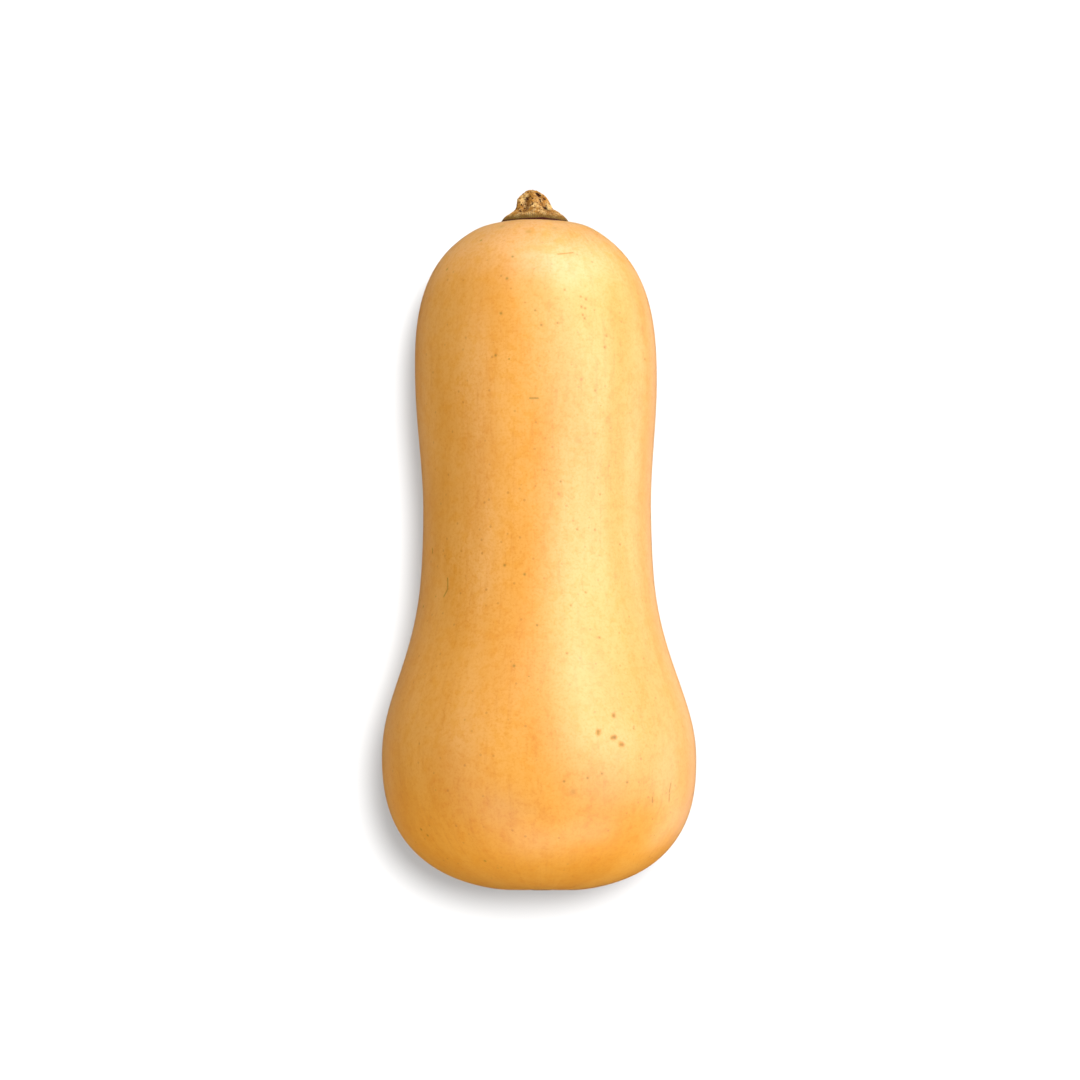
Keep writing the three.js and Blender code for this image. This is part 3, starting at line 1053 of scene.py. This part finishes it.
# %% The table and the backdrop
TABLE_HALF = 7.0
TABLE_GREY = "#8A8A8A"
TABLE_GLOW = 0.42
BACKDROP_HEIGHT = 5.0


def seen_only_by_camera(name, mesh, material):
    """A part of the stage that only the camera sees: it gives no light and isn't mirrored anywhere."""
    made = bpy.data.objects.new(name, mesh)
    mesh.materials.append(material)
    bpy.context.scene.collection.objects.link(made)
    made.visible_diffuse = False
    made.visible_glossy = False
    made.visible_shadow = False
    return made


def glowing_sheet(name, grey, glow):
    """A matt sheet of that grey that also glows white."""
    return new_material(
        name,
        Base_Color=linear(grey),
        Roughness=1.0,
        Specular_IOR_Level=0.0,
        Emission_Color=linear("#FFFFFF"),
        Emission_Strength=glow,
    )[0]


corners = [(TABLE_HALF * x, TABLE_HALF * y) for x, y in ((-1, -1), (1, -1), (1, 1), (-1, 1))]
table_mesh = bpy.data.meshes.new("table")
table_mesh.from_pydata([(x, y, 0.0) for x, y in corners], [], [(0, 1, 2, 3)])
table = seen_only_by_camera("table", table_mesh, glowing_sheet("pale_grey_sheet", TABLE_GREY, TABLE_GLOW))

backdrop_mesh = bpy.data.meshes.new("backdrop")
backdrop_mesh.from_pydata(
    [(x, y, z) for z in (0.0, BACKDROP_HEIGHT) for x, y in corners],
    [],
    [(k, k + 4, (k + 1) % 4 + 4, (k + 1) % 4) for k in range(4)],
)
seen_only_by_camera("backdrop", backdrop_mesh, glowing_sheet("white_backdrop_cloth", "#FFFFFF", 1.0))
print("the table is", round(2.0 * TABLE_HALF), "m wide")

# %% [markdown]
# A lamp's place is given as it would be set up: turned from overhead towards +X, then from there towards
# the stalk, at a distance from the middle of the table. Brightness is the light that leaves a square metre,
# so a larger lamp gives more light and keeps its look in the skin.

# %% How a lamp is made
LAMP_DISTANCE = 1.2


def lamp(name, data, right, ahead):
    """Places a lamp that shines at the middle of the table: the turns are in degrees."""
    tilt = math.radians(right)
    pan = math.radians(ahead)
    outward_way = np.array([math.sin(tilt) * math.cos(pan), math.sin(pan), math.cos(tilt) * math.cos(pan)])
    across = np.array([math.cos(tilt), 0.0, -math.sin(tilt)])
    axes = np.stack([across, np.cross(outward_way, across), outward_way], axis=1)
    made = bpy.data.objects.new(name, data)
    made.location = outward_way * LAMP_DISTANCE
    made.rotation_euler = Matrix(axes.tolist()).to_euler()
    made.visible_camera = False
    bpy.context.scene.collection.objects.link(made)
    return made


def panel(name, width, height, brightness):
    """A rectangular lamp: its power is its brightness times pi times its area."""
    data = bpy.data.lights.new(name, "AREA")
    data.shape = "RECTANGLE"
    data.size = width
    data.size_y = height
    data.energy = brightness * math.pi * width * height
    return data


def lights_only(lamps, objects, name):
    """Links lamps to a collection that holds the only objects that they light."""
    lit = bpy.data.collections.new(name)
    for item in objects:
        lit.objects.link(item)
    for item in lamps:
        item.light_linking.receiver_collection = lit


# %% [markdown]
# The squash has two sets of soft lamps. The body lamps shade its colour and aren't mirrored in it. The
# sheen lamps are only mirrored in the wax, as a photographer's strips and cards are, so the gloss is placed
# apart from the shading. Since the table throws no light back, two low body lamps stand for its bounce.
# Each row gives a lamp's name, its two turns in degrees, its width and height, and its brightness.

# %% The lamps of the squash
SQUARE = 0.52
STRIP = 1.04
BODY_LAMPS = [
    ("main", 45, -10, SQUARE, SQUARE, 7.2),
    ("low_right", 95, -10, SQUARE, SQUARE, 9.0),
    ("beyond_the_stalk", 32, 65, 0.74, SQUARE, 8.4),
    ("beyond_left", -30, 60, SQUARE, SQUARE, 3.0),
    ("top", 20, 15, SQUARE, SQUARE, 3.5),
    ("left", -55, 2, SQUARE, STRIP, 2.0),
    ("near_left", -30, -35, SQUARE, SQUARE, 5.0),
    ("near", -5, -65, SQUARE, SQUARE, 6.5),
    ("bounce_right", 115, 0, SQUARE, STRIP, 2.0),
    ("bounce_left", -140, 0, SQUARE, STRIP, 4.0),
]
SHEEN_LAMPS = [
    ("strip", 49, 30, 0.7, STRIP, 2.7),
    ("strip_end", 45, -10, SQUARE, SQUARE, 4.6),
    ("strip_foot", 45, -50, SQUARE, SQUARE, 2.6),
    ("soft_edge", 29, 28, SQUARE, STRIP, 1.5),
    ("bulb_core", 56, 8, 0.35, 0.35, 3.0),
    ("crown_core", 48, 48, 0.4, 0.4, 3.0),
    ("crown_left", 20, 65, SQUARE, SQUARE, 1.5),
    ("crown_right", 70, 60, SQUARE, SQUARE, 1.4),
    ("crown_far_left", -30, 60, SQUARE, SQUARE, 1.2),
    ("flank", 92, 24, 1.1, 2 * STRIP, 1.1),
    ("flank_foot", 120, -30, SQUARE, SQUARE, 1.3),
    ("table_sheen", 145, 0, SQUARE, STRIP, 0.7),
]
body_lamps = [lamp(name, panel(name, *size), right, ahead) for name, right, ahead, *size in BODY_LAMPS]
sheen_lamps = [lamp(name, panel(name, *size), right, ahead) for name, right, ahead, *size in SHEEN_LAMPS]
for item in body_lamps:
    item.visible_glossy = False
for item in sheen_lamps:
    item.visible_diffuse = False
lights_only(body_lamps + sheen_lamps, squash_pieces, "lit_with_the_squash")
print(len(body_lamps), "body lamps and", len(sheen_lamps), "sheen lamps")

# %% [markdown]
# The table's lamp is a sun, whose light falls the same way everywhere, so its shadow is as sharp at both
# ends. Its angle sets how soft the shadow's edge is, and its tilt to the right and towards the stalk throws
# the shadow to the left and towards the blossom end.

# %% The lamp of the table
OVERHEAD_STRENGTH = 8.0
OVERHEAD_ANGLE = 11.0
OVERHEAD_RIGHT = 7.0
OVERHEAD_AHEAD = 9.5

overhead_data = bpy.data.lights.new("overhead", "SUN")
overhead_data.energy = OVERHEAD_STRENGTH
overhead_data.angle = math.radians(OVERHEAD_ANGLE)
overhead = lamp("overhead", overhead_data, OVERHEAD_RIGHT, OVERHEAD_AHEAD)
lights_only([overhead], [table], "lit_with_the_table")
print("the table's lamp leans", OVERHEAD_RIGHT, "degrees to the right and", OVERHEAD_AHEAD, "ahead")

# %% [markdown]
# A faint even light fills the room, and the film keeps colours as they are instead of softening the lights,
# because the picture's white ground is fully burnt out.

# %% The room and the film
ROOM_LIGHT = 0.05

room = bpy.data.worlds.new("room")
room.use_nodes = True
room.node_tree.nodes["Background"].inputs["Color"].default_value = (1.0, 1.0, 1.0, 1.0)
room.node_tree.nodes["Background"].inputs["Strength"].default_value = ROOM_LIGHT
bpy.context.scene.world = room
bpy.context.scene.view_settings.view_transform = "Standard"
print("room light", ROOM_LIGHT)
